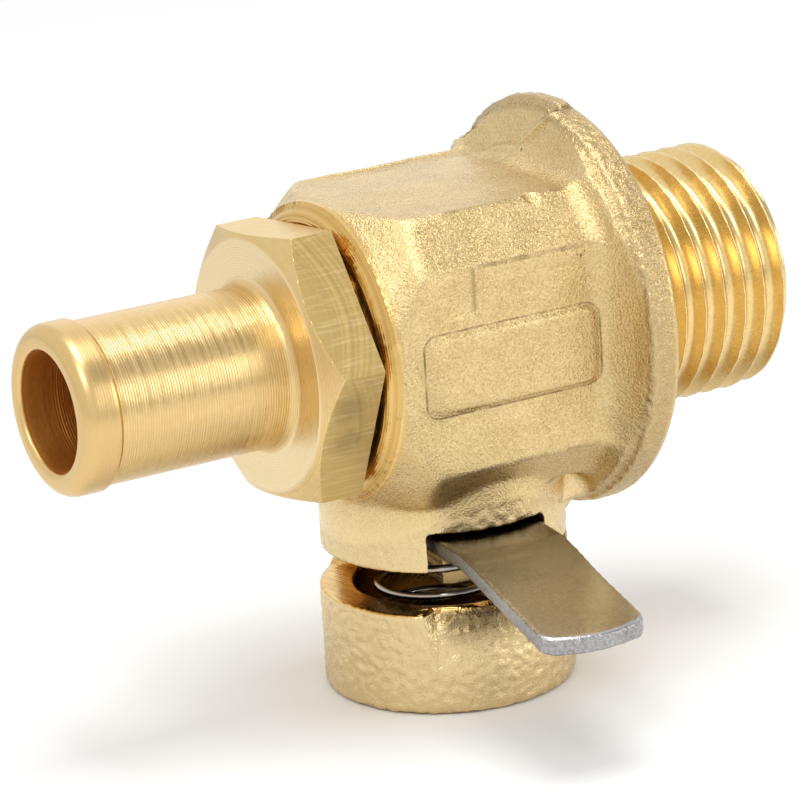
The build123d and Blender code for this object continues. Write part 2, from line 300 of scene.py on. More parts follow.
# %% [markdown]
# ## Shader groups
# All the metals are built from the same few effects, so each effect is a group that is made once.
# The coordinates reach the groups in millimetres, so that every size in a group is a real one. A
# small class lets the outputs of nodes be added and multiplied like numbers, so that a tree reads
# like the sum that it stands for.


# %% Helpers for node trees
class Value:
    """An output in a node tree that can be used in sums like a number."""

    def __init__(self, tree, socket):
        self.tree = tree
        self.socket = socket

    def __add__(self, other):
        return arithmetic("ADD", self, other)

    def __sub__(self, other):
        return arithmetic("SUBTRACT", self, other)

    def __rsub__(self, other):
        return arithmetic("SUBTRACT", other, self)

    def __mul__(self, other):
        return arithmetic("MULTIPLY", self, other)

    def __truediv__(self, other):
        return arithmetic("DIVIDE", self, other)

    def __rtruediv__(self, other):
        return arithmetic("DIVIDE", other, self)

    def __abs__(self):
        return arithmetic("ABSOLUTE", self)

    __radd__ = __add__
    __rmul__ = __mul__


def join(source, target):
    """Links a value, or sets a plain number, on a target socket."""
    if isinstance(source, Value):
        source.tree.links.new(source.socket, target)
    else:
        target.default_value = source


def arithmetic(operation, *values, clamp=False):
    """One arithmetic node on values and plain numbers."""
    tree = next(value.tree for value in values if isinstance(value, Value))
    node = tree.nodes.new("ShaderNodeMath")
    node.operation = operation
    node.use_clamp = clamp
    for value, socket in zip(values, node.inputs):
        join(value, socket)
    return Value(tree, node.outputs[0])


def larger(a, b):
    """The larger of two values."""
    return arithmetic("MAXIMUM", a, b)


def diagonal(a, b):
    """The length of the diagonal of a rectangle with these sides."""
    return arithmetic("SQRT", a * a + b * b)


def spread(value, low, high, to_low=0.0, to_high=1.0):
    """Maps a value from one range to another, clamped."""
    node = value.tree.nodes.new("ShaderNodeMapRange")
    limits = {"Value": value, "From Min": low, "From Max": high, "To Min": to_low, "To Max": to_high}
    for label, number in limits.items():
        join(number, node.inputs[label])
    return Value(value.tree, node.outputs[0])


def noise_value(place, scale, detail=2.0, roughness=0.5):
    """Noise at a place."""
    node = place.tree.nodes.new("ShaderNodeTexNoise")
    inputs = {"Vector": place, "Scale": scale, "Detail": detail, "Roughness": roughness}
    for label, number in inputs.items():
        join(number, node.inputs[label])
    return Value(place.tree, node.outputs[0])


def split(place):
    """The three parts of a vector."""
    node = place.tree.nodes.new("ShaderNodeSeparateXYZ")
    join(place, node.inputs[0])
    return [Value(place.tree, socket) for socket in node.outputs]


def new_group(name, kind, inputs, outputs):
    """A node group; returns its tree, its input values and its output node."""
    tree = bpy.data.node_groups.new(name, kind)
    for label, given in inputs.items():
        named = {int: "NodeSocketInt", float: "NodeSocketFloat"}.get(type(given), given)
        socket = tree.interface.new_socket(label, in_out="INPUT", socket_type=named)
        if named != given:
            socket.default_value = given
    for label, named in outputs.items():
        tree.interface.new_socket(label, in_out="OUTPUT", socket_type=named)
    values = {socket.name: Value(tree, socket) for socket in tree.nodes.new("NodeGroupInput").outputs}
    return tree, values, tree.nodes.new("NodeGroupOutput")


def new_effect(name, inputs, outputs):
    """A shader group that works on a place and gives plain numbers."""
    return new_group(name, "ShaderNodeTree", {"Place": "NodeSocketVector", **inputs},
                     {label: "NodeSocketFloat" for label in outputs})


print("node helpers ready")

# %% [markdown]
# Forged brass comes out of its dies with a fine peened grain that sparkles, over soft lumps and a
# scatter of pits. The group mixes three sizes of noise into one height, and gives a tint and a
# roughness that follow them.

# %% Forged grain group
grain_group, given, result = new_effect(
    "forged_grain", {"Grain size": 0.2, "Pits": 0.5}, ("Height", "Tint", "Roughness", "Pit"))
place = given["Place"]
fine_scale = 1.0 / given["Grain size"]
fine = noise_value(place, fine_scale, 2.0, 0.65)
coarse = noise_value(place, fine_scale * 0.22, 2.0)
blotch = noise_value(place, 0.4, 4.0, 0.6)
pit_edge = spread(given["Pits"], 0.0, 1.0, 0.92, 0.66)
pit = spread(noise_value(place, 1.9, 1.0, 0.4), pit_edge, pit_edge + 0.06)
join(coarse * 0.05 + fine * 0.8 - pit * 0.6, result.inputs["Height"])
join(spread(fine * 0.7 + blotch * 0.3, 0.32, 0.68), result.inputs["Tint"])
join(spread(fine + blotch, 0.7, 1.3), result.inputs["Roughness"])
join(pit, result.inputs["Pit"])
print("forged_grain has", len(grain_group.nodes), "nodes")

# %% [markdown]
# Turned brass carries the fine rings that the lathe's tool leaves. On a cylinder they are spaced
# along the axis, and on an end face they are spaced along the radius. One measure that adds the
# two gives rings on both. A sine gives the even feed of the tool, and noise along the same measure
# makes some rings deeper than others.

# %% Turned rings group
rings_group, given, result = new_effect("turned_rings", {"Ring spacing": 0.2}, ("Height", "Streak"))
place = given["Place"]
x, y, z = split(place)
measure = diagonal(y, z) * 1.1 + x + noise_value(place, 0.35) * 0.06
ring_count = measure / given["Ring spacing"]
feed = arithmetic("SINE", ring_count * (2 * math.pi)) * 0.5 + 0.5
line_noise = rings_group.nodes.new("ShaderNodeTexNoise")
line_noise.noise_dimensions = "1D"
join(ring_count, line_noise.inputs["W"])
join(0.6, line_noise.inputs["Scale"])
join(3.0, line_noise.inputs["Detail"])
uneven = Value(rings_group, line_noise.outputs[0])
depth = spread(uneven + noise_value(place, 1.6), 0.75, 1.3, 0.15, 1.0)
join(feed * depth, result.inputs["Height"])
join(spread(uneven, 0.3, 0.7), result.inputs["Streak"])
print("turned_rings has", len(rings_group.nodes), "nodes")

# %% [markdown]
# Drawing a bar or rolling a sheet leaves fine lines that all run one way, and handling leaves faint
# brown stains. Noise that is stretched along X gives the lines, thresholded so that only some show,
# and a broad noise gives the stains.

# %% Wear group
wear_group, given, result = new_effect("handling_wear", {"Lines": 0.5, "Stains": 0.5}, ("Line", "Stain"))
place = given["Place"]
stretch = wear_group.nodes.new("ShaderNodeMapping")
join(place, stretch.inputs["Vector"])
join((0.0, 0.03, 0.06), stretch.inputs["Rotation"])
join((0.35, 5.5, 5.5), stretch.inputs["Scale"])
lines = noise_value(Value(wear_group, stretch.outputs[0]), 1.0, 3.0, 0.6)
stain_low = spread(given["Stains"], 0.0, 1.0, 0.75, 0.45)
stain = spread(noise_value(place, 0.3, 5.0, 0.66), stain_low, stain_low + 0.2)
join(spread(lines, 0.5, 0.72) * given["Lines"], result.inputs["Line"])
join(stain, result.inputs["Stain"])
print("handling_wear has", len(wear_group.nodes), "nodes")

# %% [markdown]
# ## Metals
# Each metal is one Principled shader. Its colour, roughness and bump come from the groups above,
# with values of its own. Colours are linear.


# %% Helpers for materials
def new_metal(name, metallic=1.0):
    """A material with one Principled shader, and its tree, shader and coordinates in millimetres."""
    material = bpy.data.materials.new(name)
    material.use_nodes = True
    tree = material.node_tree
    shader = tree.nodes["Principled BSDF"]
    join(metallic, shader.inputs["Metallic"])
    coordinates = tree.nodes.new("ShaderNodeTexCoord")
    in_mm = tree.nodes.new("ShaderNodeMapping")
    join((1 / MM, 1 / MM, 1 / MM), in_mm.inputs["Scale"])
    tree.links.new(coordinates.outputs["Object"], in_mm.inputs["Vector"])
    return material, tree, shader, Value(tree, in_mm.outputs[0])


def use_group(group, place, **numbers):
    """Places a shader group in a material, with its own numbers; returns its outputs."""
    node = place.tree.nodes.new("ShaderNodeGroup")
    node.node_tree = group
    join(place, node.inputs["Place"])
    for label, number in numbers.items():
        join(number, node.inputs[label.replace("_", " ")])
    return {socket.name: Value(place.tree, socket) for socket in node.outputs}


def mix_colour(share, a, b):
    """Mixes two colours."""
    node = share.tree.nodes.new("ShaderNodeMix")
    node.data_type = "RGBA"
    join(share, node.inputs[0])
    for tone, socket in ((a, node.inputs[6]), (b, node.inputs[7])):
        join(tone if isinstance(tone, Value) else (*tone, 1.0), socket)
    return Value(share.tree, node.outputs[2])


def coat(base, *layers):
    """A colour with other tones laid over it in turn, each through a mask and by a share."""
    for mask, share, tone in layers:
        base = mix_colour(mask * share, base, tone)
    return base


def dress(shader, base, rough, height=None, distance=0.0):
    """Gives a shader its colour, roughness and bump, in parts of a distance in millimetres."""
    join(base, shader.inputs["Base Color"])
    join(rough, shader.inputs["Roughness"])
    if height:
        node = height.tree.nodes.new("ShaderNodeBump")
        join(1.0, node.inputs["Strength"])
        join(distance * MM, node.inputs["Distance"])
        join(height, node.inputs["Height"])
        height.tree.links.new(node.outputs[0], shader.inputs["Normal"])


def surface_mask(tree, name):
    """A mask that is stored on the piece's own vertices."""
    node = tree.nodes.new("ShaderNodeAttribute")
    node.attribute_name = name
    return Value(tree, node.outputs["Fac"])


def spot(place, centre, radius):
    """A soft round mask at one place on the surface, in millimetres."""
    node = place.tree.nodes.new("ShaderNodeVectorMath")
    node.operation = "DISTANCE"
    join(place, node.inputs[0])
    join(centre, node.inputs[1])
    away = Value(place.tree, node.outputs["Value"]) + noise_value(place, 2.2, 3.0, 0.6) * radius
    return spread(away, 0.9 * radius, 1.5 * radius, 1.0, 0.0)


print("material helpers ready")

# %% [markdown]
# The body is forged brass: pale gold where its grain catches light, browner in its pits and stains and
# cleaner along its worn edges. Where a cutter has been, in the window, the bores and on the collar
# and the sealing face, it is smoother, more orange and marked with rings. The creases, the pad's rim,
# the folds that the dies left and the scoop under the lever are darkened with painted shade.

# %% Painted shade in the creases
FOLD_START, FOLD_Y, FOLD_LEAN = 11.0, -0.05, 1.05
PARTING_Y = 0.6
PAD_X, PAD_Z, PAD_ROUND = -9.93, -0.15, 0.93
PAD_FLAT_LENGTH, PAD_FLAT_HEIGHT = 5.35, 1.70
CREASES = [(TOP_FLAT_HALF, BODY_HALF_HEIGHT), (BODY_HALF_WIDTH, SIDE_FLAT_TOP),
           (BODY_HALF_WIDTH, -SIDE_FLAT_BOTTOM), (TOP_FLAT_HALF, -BODY_HALF_HEIGHT)]


def fold_line(axis):
    """Where the fold across the flange's back lies, at a distance from the passage's axis."""
    return FOLD_Y - FOLD_LEAN * (axis - FOLD_START)


def painted_parting_shade(x, y, z):
    """Painted shade lines where the two dies met: along the top of the block and across the flange's
    back.
    """
    axis = diagonal(y, z)
    off_fold = abs(y - (fold_line(axis) + 0.12))
    fold = spread(off_fold, 0.12, 0.30, 1.0, 0.0) * spread(axis, 10.5, 10.9)
    parting = spread(abs(y - PARTING_Y), 0.05, 0.16, 1.0, 0.0) * spread(x, -4.0, -3.4, 0.8, 0.0)
    return larger(fold, parting) * spread(z, 8.6, 9.0)


def painted_crease_shade(place):
    """Thin broken lines of painted shade along the block's creases and round its pad."""
    x, y, z = split(place)
    nearest = None
    for crease_y, crease_z in CREASES:
        away = diagonal(abs(y) - crease_y, z - crease_z)
        nearest = arithmetic("MINIMUM", nearest, away) if nearest else away
    on_block = spread(x, -15.0, -13.5) * spread(x, -4.2, -3.6, 1.0, 0.0)
    crease = spread(nearest, 0.10, 0.24, 0.7, 0.0) * on_block
    past_end = larger(abs(x - PAD_X) - PAD_FLAT_LENGTH, 0.0)
    past_top = larger(abs(z - PAD_Z) - PAD_FLAT_HEIGHT, 0.0)
    off_rim = abs(diagonal(past_end, past_top) - PAD_ROUND)
    pad_line = spread(off_rim, 0.03, 0.10, 1.0, 0.0) * spread(y, -9.0, -8.8, 1.0, 0.0)
    broken = spread(noise_value(place, 0.9, 3.0, 0.6), 0.38, 0.60, 0.3, 1.0)
    return larger(crease, larger(pad_line, painted_parting_shade(x, y, z))) * broken


print("crease lines ready")

# %% Forged brass
forged_brass, tree, shader, place = new_metal("forged_brass")
grain = use_group(grain_group, place, Grain_size=0.15, Pits=0.5)
rings = use_group(rings_group, place, Ring_spacing=0.24)
wear = use_group(wear_group, place, Lines=0.0, Stains=0.4)
milled = surface_mask(tree, "milled")
edge = surface_mask(tree, "worn_edge")
# The fold mask and the crease lines darken the brass as painted shade.
fold = larger(surface_mask(tree, "fold"), painted_crease_shade(place))
on_boss = spread(split(place)[2], -11.5, -9.0, 1.0, 0.0)
base = coat(
    mix_colour(grain["Tint"], (0.53, 0.375, 0.155), (0.79, 0.61, 0.32)),
    (wear["Stain"], 0.3, (0.42, 0.285, 0.115)),
    (grain["Pit"], 0.6, (0.16, 0.10, 0.04)),
    (edge, 0.4, (0.82, 0.66, 0.38)),
    (surface_mask(tree, "trimmed"), 0.45, (0.36, 0.25, 0.12)),
    (on_boss, 0.6, (0.86, 0.68, 0.37)),
    (fold, 0.8, (0.15, 0.095, 0.035)),
    (milled, 1.0, mix_colour(rings["Streak"], (0.56, 0.335, 0.09), (0.77, 0.52, 0.20))),
)
rough = spread(grain["Roughness"], 0.0, 1.0, 0.20, 0.34) - milled * 0.04 - edge * 0.05
relief = grain["Height"] * (1.0 - milled) * spread(on_boss, 0.0, 1.0, 1.0, 0.6)
dress(shader, base, rough, relief + rings["Height"] * milled * 0.10, 0.10)
print(forged_brass.name, "has", len(tree.nodes), "nodes")

# %% [markdown]
# The nipple and the small turned pieces are cut from drawn brass bar. The lathe's rings catch the
# light as fine lines, and the hexagon keeps scratches and a stain or two from handling.

# %% Turned brass
DARK_SPOT = (0.15, 0.11, 0.045)
turned_brass, tree, shader, place = new_metal("turned_brass")
rings = use_group(rings_group, place, Ring_spacing=0.18)
wear = use_group(wear_group, place, Lines=1.0, Stains=0.3)
grain = use_group(grain_group, place, Grain_size=0.3, Pits=0.42)
flats = surface_mask(tree, "hexagon")
inside = surface_mask(tree, "bore")
x = split(place)[0]
turned = rings["Height"] * spread(x, -35.2, -34.8, 0.25, 1.0)
base = coat(
    mix_colour(turned, (0.68, 0.475, 0.20), (0.81, 0.61, 0.305)),
    (spread(abs(x - HEX_FRONT), 0.04, 0.10, 1.0, 0.0), 0.6, (0.84, 0.70, 0.44)),
    (flats, 1.0, mix_colour(wear["Line"], (0.70, 0.50, 0.19), (0.83, 0.63, 0.30))),
    (wear["Stain"], 0.22, (0.42, 0.27, 0.09)),
    (grain["Pit"], 0.65, (0.20, 0.12, 0.04)),
    (spot(place, (-21.2, -8.35, -1.0), 1.5), 0.3, DARK_SPOT),
    (spot(place, (-21.0, -7.6, -3.6), 1.3), 0.28, DARK_SPOT),
    (spot(place, (-21.3, -8.4, -0.45), 0.3), 0.8, DARK_SPOT),
    (spot(place, (-19.6, -3.3, 7.5), 0.22), 0.9, DARK_SPOT),
    (inside, 0.8, (0.78, 0.36, 0.055)),
)
rough = spread(rings["Streak"], 0.0, 1.0, 0.24, 0.34) + inside * 0.18 + flats * 0.05
relief = turned * (1.0 - flats) + wear["Line"] * flats * 0.3 - grain["Pit"] * 0.8
dress(shader, base, rough, relief, 0.014)
print(turned_brass.name, "has", len(tree.nodes), "nodes")

# %% [markdown]
# The engine thread is rolled or cut last, so it is the cleanest and most golden brass on the valve,
# with polished flanks.

# %% Thread brass
thread_brass, tree, shader, place = new_metal("thread_brass")
wear = use_group(wear_group, place, Lines=0.0, Stains=0.4)
grain = use_group(grain_group, place, Grain_size=0.3, Pits=0.2)
base = coat(
    mix_colour(grain["Tint"], (0.74, 0.535, 0.225), (0.845, 0.64, 0.295)),
    (wear["Stain"], 0.15, (0.62, 0.41, 0.14)),
    # Painted highlight: the crests are paler.
    (surface_mask(tree, "crest"), 0.6, (0.88, 0.73, 0.45)),
)
dress(shader, base, spread(grain["Roughness"], 0.0, 1.0, 0.20, 0.30), grain["Height"], 0.004)
print(thread_brass.name, "has", len(tree.nodes), "nodes")

# %% [markdown]
# The lever is stainless sheet with a satin rolled skin. Its sheared edge is rougher and greyer, and
# its colour darkens near the boss as painted shade.

# %% Stainless sheet
stainless, tree, shader, place = new_metal("stainless_sheet")
wear = use_group(wear_group, place, Lines=0.0, Stains=0.4)
grain = use_group(grain_group, place, Grain_size=0.2, Pits=0.4)
sheared = surface_mask(tree, "sheared")
base = coat(
    mix_colour(grain["Tint"], (0.38, 0.37, 0.36), (0.53, 0.52, 0.51)),
    (wear["Stain"], 0.3, (0.34, 0.315, 0.285)),
    (sheared, 0.7, mix_colour(grain["Tint"], (0.18, 0.17, 0.165), (0.50, 0.485, 0.48))),
    # Painted shade: darker towards the boss, where the boss shades the strip.
    (spread(split(place)[1], -15.5, -8.5), 0.9, (0.13, 0.105, 0.075)),
)
rough = spread(grain["Roughness"], 0.0, 1.0, 0.15, 0.22) + sheared * 0.12
dress(shader, base, rough, grain["Height"] * spread(sheared, 0.0, 1.0, 0.25, 1.0), 0.10)
print(stainless.name, "has", len(tree.nodes), "nodes")

# %% [markdown]
# The spring is drawn steel wire, the ball is plated, and the seats and seals are plastic and rubber.
# The last ones hardly show, so each is a simple finish with a little grain.

# %% Spring, ball, seats and seals
spring_steel, tree, shader, place = new_metal("spring_steel")
wear = use_group(wear_group, place, Lines=0.5, Stains=0.5)
base = mix_colour(wear["Stain"], (0.40, 0.375, 0.34), (0.24, 0.215, 0.18))
dress(shader, base, spread(wear["Stain"], 0.0, 1.0, 0.16, 0.28), wear["Line"], 0.006)

ball_plating, tree, shader, place = new_metal("ball_plating")
wear = use_group(wear_group, place, Lines=0.4, Stains=0.3)
base = mix_colour(wear["Stain"], (0.62, 0.62, 0.63), (0.48, 0.47, 0.45))
dress(shader, base, spread(wear["Line"], 0.0, 1.0, 0.1, 0.22))

seat_plastic, tree, shader, place = new_metal("seat_plastic", 0.0)
grain = use_group(grain_group, place, Grain_size=0.3, Pits=0.1)
base = mix_colour(grain["Tint"], (0.72, 0.72, 0.68), (0.80, 0.80, 0.77))
dress(shader, base, spread(grain["Roughness"], 0.0, 1.0, 0.4, 0.5))

seal_rubber, tree, shader, place = new_metal("seal_rubber", 0.0)
grain = use_group(grain_group, place, Grain_size=0.15, Pits=0.2)
base = mix_colour(grain["Tint"], (0.018, 0.018, 0.018), (0.035, 0.034, 0.032))
dress(shader, base, spread(grain["Roughness"], 0.0, 1.0, 0.5, 0.62))
print("small pieces' finishes made")

# %% [markdown]
# ## Forged body
# The body's CAD solid has exact but hard edges. A forging has soft ones, so the solid's mesh is
# copied, its plain thread stub is cut off just past the sealing face, a cove is laid in the corner
# behind the flange, and all of it is rebuilt as one even skin. The skin is then smoothed where the
# dies made it, and left crisp where a cutter did.

# %% Planes of the block and the cove behind the flange
COVE_START, COVE_END, COVE_SPREAD, COVE_RIM = -4.25, -2.05, 3.2, 12.6
COVE_INSIDE, COVE_BESIDE_BOSS, COVE_CURVE = 7.3, 5.2, 2.5
COVE_STEPS_ROUND, COVE_STEPS_ALONG = 240, 16


def block_planes():
    """The outward directions and distances of the planes on one side of the block's section."""
    ridge = (0.0, BODY_HALF_HEIGHT + PARTING_RISE)
    corners = [ridge, *CREASES, (0.0, -ridge[1])]
    planes = []
    for (y0, z0), (y1, z1) in zip(corners, corners[1:]):
        length = math.hypot(y1 - y0, z1 - z0)
        out_y, out_z = (z0 - z1) / length, (y1 - y0) / length
        planes.append((out_y, out_z, y0 * out_y + z0 * out_z))
    return planes


BLOCK_PLANES = block_planes()


def cove_ring():
    """A ring that fills the corner between the block, the boss and the flange with a smooth cove."""
    angles = np.linspace(0, 2 * math.pi, COVE_STEPS_ROUND, endpoint=False)
    side, up = np.sin(angles), np.cos(angles)
    facing = np.array([np.abs(side) * out_y + up * out_z for out_y, out_z, _ in BLOCK_PLANES])
    reach = np.array([distance for _, _, distance in BLOCK_PLANES])[:, None] / facing.clip(1e-6)
    block = reach.min(axis=0)
    ring = bmesh.new()
    rows = []
    for u in np.linspace(0.0, 1.0, COVE_STEPS_ALONG):
        growth = u ** COVE_CURVE
        boss = np.where(up < -0.75, (COVE_BESIDE_BOSS + growth) / np.abs(side).clip(1e-6), 0.0)
        radius = np.minimum(np.maximum(block + COVE_SPREAD * growth, boss), COVE_RIM)
        x = COVE_START + (COVE_END - COVE_START) * u
        rows.append([ring.verts.new((x, r * s, r * c)) for r, s, c in zip(radius, side, up)])
    for x in (COVE_END, COVE_START):
        rows.append([ring.verts.new((x, COVE_INSIDE * s, COVE_INSIDE * c)) for s, c in zip(side, up)])
    for row, after in zip(rows, rows[1:] + rows[:1]):
        for i in range(len(row)):
            ring.faces.new((row[i - 1], row[i], after[i], after[i - 1]))
    bmesh.ops.recalc_face_normals(ring, faces=ring.faces)
    mesh = bpy.data.meshes.new("cove")
    ring.to_mesh(mesh)
    ring.free()
    return mesh


print("the block has", len(BLOCK_PLANES), "planes on each side")

# %% Skin of the forged body
BODY_VOXEL = 0.15
STUB_CUT = 0.25
body_copy = merged_copy("valve_body")
bmesh.ops.bisect_plane(
    body_copy,
    geom=body_copy.verts[:] + body_copy.edges[:] + body_copy.faces[:],
    plane_co=(STUB_CUT, 0, 0), plane_no=(1, 0, 0), clear_outer=True, dist=1e-5,
)
open_edges = [e for e in body_copy.edges if e.is_boundary]
bmesh.ops.triangle_fill(body_copy, edges=open_edges, use_beauty=True, normal=(1, 0, 0))
still_open = sum(1 for e in body_copy.edges if not e.is_manifold)
body_copy.from_mesh(cove_ring())
body_mesh = voxel_skin(body_copy, BODY_VOXEL)
print("open edges left", still_open, "skin vertices", len(body_mesh.vertices))

# %% Where a cutter has been
SEAL_FROM, JOINT_ZONE, BLOCK_FLOOR = -0.25, 7.3, -8.6
COLLAR_TURNED, COLLAR_FLOOR = 0.48, -9.6
WINDOW_ZONE, NOTCH_ZONE, CUT_SLACK = 8.3, 7.6, 0.12


def milled_share(p):
    """1 on the machined faces of the body, and 0 on its forged skin."""
    x, y, z = p.T
    stem = np.hypot(x - STEM_X, y)
    across, forward = from_notch(x, y)
    seal = x > SEAL_FROM
    passage = (np.hypot(y, z) < JOINT_ZONE) & (z > BLOCK_FLOOR)
    collar = (x < BODY_END + COLLAR_TURNED) & (z > COLLAR_FLOOR)
    boss_bore = (stem < BOSS_BORE_RADIUS + 0.15) & (z < BLOCK_FLOOR)
    window = (z < WINDOW_ROOF + CUT_SLACK) & (z > WINDOW_FLOOR - CUT_SLACK) & (stem < WINDOW_ZONE)
    notch = (np.abs(across) < NOTCH_HALF_WIDTH + 0.1) & (forward > 0) & (stem < NOTCH_ZONE)
    notch &= (z < BOSS_BORE_ROOF + 0.1) & (z > WINDOW_ROOF)
    return (seal | passage | collar | boss_bore | window | notch).astype(float)


ends = edge_ends(body_mesh)
places = vertex_places(body_mesh)
milled_at = milled_share(places)
forged_at = 1.0 - neighbour_mean(neighbour_mean(milled_at, ends), ends)
print("machined share of the skin", round(float(milled_at.mean()), 3))

# %% [markdown]
# Three forms of the photograph are finer than the solid. The block's creases are crisper, so the
# skin is pushed out to the planes that meet there. The relief under the lever is a scoop that is
# deep at the left and runs out at the right. And the collar reaches nearly to the hexagon, with a
# bevel at its end.

# %% Crisp creases, the slanting relief and the collar's bevel
CREASE_REACH = 0.14
RELIEF_DEPTH, RELIEF_REACH, RELIEF_LIP = 1.6, 3.8, 1.0
RELIEF_LEFT, RELIEF_FLANK, RELIEF_FROM = -4.6, 0.8, 7.1
COLLAR_REACH, COLLAR_INSIDE, BEVEL_LENGTH, BEVEL_DROP = 0.33, 6.9, 0.45, 0.65


def below_planes(p):
    """How far each place lies under the nearest plane of the block's eight-sided section."""
    depth = np.full(len(p), np.inf)
    for out_y, out_z, distance in BLOCK_PLANES:
        depth = np.minimum(depth, distance - np.abs(p[:, 1]) * out_y - p[:, 2] * out_z)
    return depth


def relief_radius(across, below):
    """The scoop's radius about the stem: deepest at the left and at the top, where it is steep."""
    flank = ramp(across - 0.1 * below, RELIEF_LEFT, RELIEF_LEFT + RELIEF_FLANK)
    deepest = RELIEF_DEPTH * (0.6 - 0.1 * across) * flank
    slope = np.clip(1.0 - below / RELIEF_REACH, 0.0, 1.0)
    lip = np.exp(-np.maximum(below, 0.0) / RELIEF_LIP)
    return BOSS_LOWER_RADIUS - deepest * (0.5 * slope + 0.5 * lip * slope)


def carve(p, normals):
    """The skin with these three forms made."""
    x, y, z = p.T
    depth = below_planes(p)
    near_crease = (depth > 0) & (depth < CREASE_REACH)
    on_block = ramp(x, -14.5, -13.0) * fade(x, -4.2, -3.7) * near_crease
    p = p + normals * (depth * on_block)[:, None]
    stem = np.hypot(x - STEM_X, y)
    across, forward = from_notch(x, y)
    below = WINDOW_FLOOR - z
    wall = relief_radius(across, below)
    relief = (across > RELIEF_LEFT) & (across < NOTCH_HALF_WIDTH) & (forward > 0)
    relief &= (below > -0.1) & (below < RELIEF_REACH)
    relief &= (stem > RELIEF_FROM) | (stem > wall)
    grow = np.where(relief, wall / stem, 1.0)
    p[:, 0] = STEM_X + (p[:, 0] - STEM_X) * grow
    p[:, 1] *= grow
    on_collar = (np.hypot(y, z) > COLLAR_INSIDE) * (z > COLLAR_FLOOR)
    p[:, 0] -= COLLAR_REACH * fade(p[:, 0], BODY_END, BODY_END + 0.7) * on_collar
    axis = np.hypot(p[:, 1], p[:, 2])
    to_end = np.clip((p[:, 0] - BODY_END + COLLAR_REACH) / BEVEL_LENGTH, 0.0, 1.0)
    rim = COLLAR_RADIUS - BEVEL_DROP * (1.0 - to_end)
    squeeze = np.where((to_end < 1.0) & (axis > rim) & (p[:, 2] > COLLAR_FLOOR), rim / axis, 1.0)
    p[:, 1:] *= squeeze[:, None]
    return p


carved = carve(places, vertex_normals(body_mesh))
moved = np.abs(carved - places).max(axis=1) > 0.02
places = carved
print("points of the skin carved", int(moved.sum()), "of", len(moved))
print("radius at the top of the relief", round(float(relief_radius(-3.0, 0.0)), 2), "mm")

# %% [markdown]
# The dies round some places much more than others. The nose, the root of the boss and the hollow
# behind the flange flow into each other, and the creases of the block stay nearly sharp.

# %% Soften the forging
SOFT_ROUNDS, CREASE_ROUNDS, LEAST_SOFT = 26, 2, 0.06
x, y, z = places.T
stem = np.hypot(x - STEM_X, y)
nose = fade(x, -16.3, -13.2) * ramp(z, -11.2, -9.8)
boss_root = ramp(-z, 7.9, 9.0) * fade(-z, 10.4, 11.2) * fade(stem, 9.0, 11.0)
flange_root = ramp(x, -4.6, -3.2) * fade(np.hypot(y, z), 10.6, 11.8)
soft_at = forged_at * np.maximum(np.maximum(nose, boss_root), flange_root)
places = soften(places, ends, soft_at, SOFT_ROUNDS)
places = soften(places, ends, np.clip(forged_at, LEAST_SOFT, 1.0), CREASE_ROUNDS)
set_places(body_mesh, places)
print("softened share of the skin", round(float(soft_at.mean()), 3))

# %% [markdown]
# The two dies met near the plane y = 0 and were a little out of line. That leaves a step along the
# top of the block and across the back of the flange. There is also a fold in the front face, a chip
# on one crease and a ragged rim where the flash was trimmed.

# %% Marks of the dies
DIE_SHIFT, PARTING_STEP, FOLD_STEP, FOLD_LIP = 0.3, 0.07, 0.50, 0.14
FRONT_FOLD_X, FRONT_FOLD_STEP = -12.42, 0.09
CHIP_PLACE, CHIP_DEPTH = (-6.6, -6.9, 9.15), 0.34
WAVER, FINE_WAVER, SKIN_LOSS, BOSS_CALM, RIM_BITE = 0.055, 0.025, 0.02, 0.75, 0.09


def bell(values, centre, width):
    """A smooth bump of height 1."""
    return np.exp(-((values - centre) / width) ** 2)


def die_marks(p):
    """How far the forged skin moves along its normal at each place, and how much painted shade its folds
    and the scoop get.
    """
    x, y, z = p.T
    axis = np.hypot(y, z)
    on_top = ramp(z, 8.4, 8.9) * ramp(-x, 3.0, 3.6)
    on_flange = ramp(axis, 10.2, 10.8) * ramp(z, 9.0, 9.6) * ramp(-x, 1.2, 1.5)
    on_front = ramp(-y, 8.9, 9.1) * ramp(z, 3.1, 3.7) * fade(z, 6.1, 6.5)
    parting = PARTING_Y + 0.06 * np.sin(0.7 * x)
    fold_y = fold_line(axis)
    lift = -PARTING_STEP * on_top * ramp(y, parting - 0.05, parting + 0.10)
    lift -= FOLD_STEP * on_flange * ramp(y, fold_y, fold_y + 0.2)
    lift += FOLD_LIP * on_flange * bell(y, fold_y - 0.25, 0.3)
    lift -= FRONT_FOLD_STEP * on_front * ramp(-x, 12.35, 12.50) * fade(-x, 13.5, 15.5)
    lift -= CHIP_DEPTH * fade(np.linalg.norm(p - CHIP_PLACE, axis=1), 0.25, 0.55)
    # Painted shade: a dark line along the fold in the front face.
    painted_shade = 0.7 * on_front * bell(x, FRONT_FOLD_X, 0.09)
    across, _ = from_notch(x, y)
    below = WINDOW_FLOOR - z
    # Painted shade in the upper part of the scoop under the lever, where the lever shades it.
    in_scoop = (across < NOTCH_HALF_WIDTH) * ramp(-y, 3.0, 4.0) * ramp(below, -0.05, 0.1)
    painted_shade += in_scoop * ramp(across, -3.9, -2.6) * fade(below, 0.6, 2.8)
    return lift, np.clip(painted_shade, 0.0, 1.0)


def trimmed_share(p):
    """1 on the flange's rim, where the flash was trimmed."""
    return ramp(np.hypot(p[:, 1], p[:, 2]), 12.2, 12.6) * ramp(-p[:, 0], 0.2, 0.5)


def ragged_share(p):
    """1 where the trimmed rim and the window's upper lip are ragged."""
    x, y, z = p.T
    lip = bell(z, WINDOW_ROOF, 0.2) * ramp(np.hypot(x - STEM_X, y), 7.3, 7.6)
    return np.clip(trimmed_share(p) + 0.6 * lip, 0.0, 1.0)


